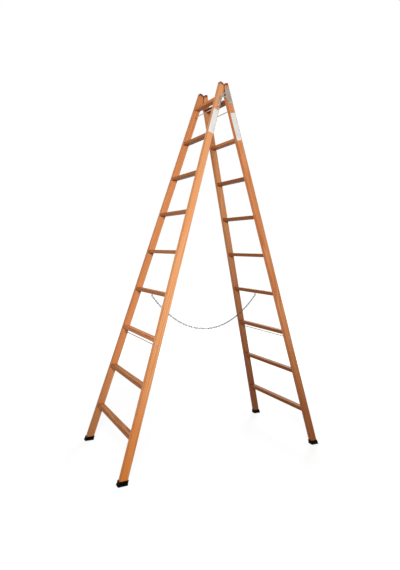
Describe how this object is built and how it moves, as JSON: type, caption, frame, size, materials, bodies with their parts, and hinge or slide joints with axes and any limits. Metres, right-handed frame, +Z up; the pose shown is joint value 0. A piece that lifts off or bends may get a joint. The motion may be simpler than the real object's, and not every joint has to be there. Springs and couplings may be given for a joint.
{
  "type": "double-sided wooden rung ladder",
  "caption": "Folding double-sided wooden rung ladder with splayed stiles, hinged heads, steel tie rods, plastic feet and a hanging safety chain.",
  "frame": {"origin": "on the floor, midway between the four feet", "axes": "+Z up, +Y across the ladder along the rungs, +X from the front section to the rear section"},
  "size_m": [1.5196, 0.65, 2.5131],
  "materials": {
    "stile_wood": "satin varnish",
    "rung_wood": "satin varnish",
    "rod_steel": "zinc plated",
    "hinge_steel": "zinc plated",
    "chain_steel": "zinc plated",
    "foot_plastic": "moulded"
  },
  "bodies": {
    "front": {"front_chain_eye": "chain_steel", "front_foot_left": "foot_plastic", "front_foot_right": "foot_plastic", "front_hinge_leaf_left": "hinge_steel", "front_hinge_leaf_right": "hinge_steel", "front_hinge_screws": "hinge_steel", "front_rung_1": "rung_wood", "front_rung_2": "rung_wood", "front_rung_3": "rung_wood", "front_rung_4": "rung_wood", "front_rung_5": "rung_wood", "front_rung_6": "rung_wood", "front_rung_7": "rung_wood", "front_rung_8": "rung_wood", "front_rung_9": "rung_wood", "front_stile_left": "stile_wood", "front_stile_right": "stile_wood", "front_tie_rod_lower": "rod_steel", "front_tie_rod_nuts": "rod_steel", "front_tie_rod_upper": "rod_steel", "hinge_pin_left": "hinge_steel", "hinge_pin_right": "hinge_steel"},
    "rear": {"rear_chain_eye": "chain_steel", "rear_foot_left": "foot_plastic", "rear_foot_right": "foot_plastic", "rear_hinge_leaf_left": "hinge_steel", "rear_hinge_leaf_right": "hinge_steel", "rear_hinge_screws": "hinge_steel", "rear_rung_1": "rung_wood", "rear_rung_2": "rung_wood", "rear_rung_3": "rung_wood", "rear_rung_4": "rung_wood", "rear_rung_5": "rung_wood", "rear_rung_6": "rung_wood", "rear_rung_7": "rung_wood", "rear_rung_8": "rung_wood", "rear_rung_9": "rung_wood", "rear_stile_left": "stile_wood", "rear_stile_right": "stile_wood", "rear_tie_rod_lower": "rod_steel", "rear_tie_rod_nuts": "rod_steel", "rear_tie_rod_upper": "rod_steel"},
    "front_chain_1": {"front_chain_1": "chain_steel"},
    "front_chain_2": {"front_chain_2": "chain_steel"},
    "front_chain_3": {"front_chain_3": "chain_steel"},
    "rear_chain_1": {"rear_chain_1": "chain_steel"},
    "rear_chain_2": {"rear_chain_2": "chain_steel"},
    "rear_chain_3": {"rear_chain_3": "chain_steel"}
  },
  "joints": [
    {"name": "fold", "type": "hinge", "parent": "front", "child": "rear", "pos_m": [0, 0, 2.41768], "axis": [0, 1, 0], "range_deg": [0, 32]},
    {"name": "front_chain_1_swing", "type": "hinge", "parent": "front", "child": "front_chain_1", "pos_m": [-0.43008, 0.0053, 1.01472], "axis": [0, 1, 0], "range_deg": [0, 53.76]},
    {"name": "front_chain_2_swing", "type": "hinge", "parent": "front_chain_1", "child": "front_chain_2", "pos_m": [-0.29666, 0.0053, 0.8874], "axis": [0, 1, 0], "range_deg": [0, 23.84]},
    {"name": "front_chain_3_swing", "type": "hinge", "parent": "front_chain_2", "child": "front_chain_3", "pos_m": [-0.1339, 0.0053, 0.80168], "axis": [0, 1, 0], "range_deg": [0, 19.65]},
    {"name": "rear_chain_1_swing", "type": "hinge", "parent": "rear", "child": "rear_chain_1", "pos_m": [0.43008, -0.0053, 1.01472], "axis": [0, 1, 0], "range_deg": [-53.76, 0]},
    {"name": "rear_chain_2_swing", "type": "hinge", "parent": "rear_chain_1", "child": "rear_chain_2", "pos_m": [0.29666, -0.0053, 0.8874], "axis": [0, 1, 0], "range_deg": [-23.84, 0]},
    {"name": "rear_chain_3_swing", "type": "hinge", "parent": "rear_chain_2", "child": "rear_chain_3", "pos_m": [0.1339, -0.0053, 0.80168], "axis": [0, 1, 0], "range_deg": [-19.65, 0]}
  ],
  "couplings": [
    {"joint": "front_chain_1_swing", "follows": "fold", "ratio": 1.68},
    {"joint": "front_chain_2_swing", "follows": "fold", "ratio": 0.745},
    {"joint": "front_chain_3_swing", "follows": "fold", "ratio": 0.614},
    {"joint": "rear_chain_1_swing", "follows": "fold", "ratio": -1.68},
    {"joint": "rear_chain_2_swing", "follows": "fold", "ratio": -0.745},
    {"joint": "rear_chain_3_swing", "follows": "fold", "ratio": -0.614}
  ]
}
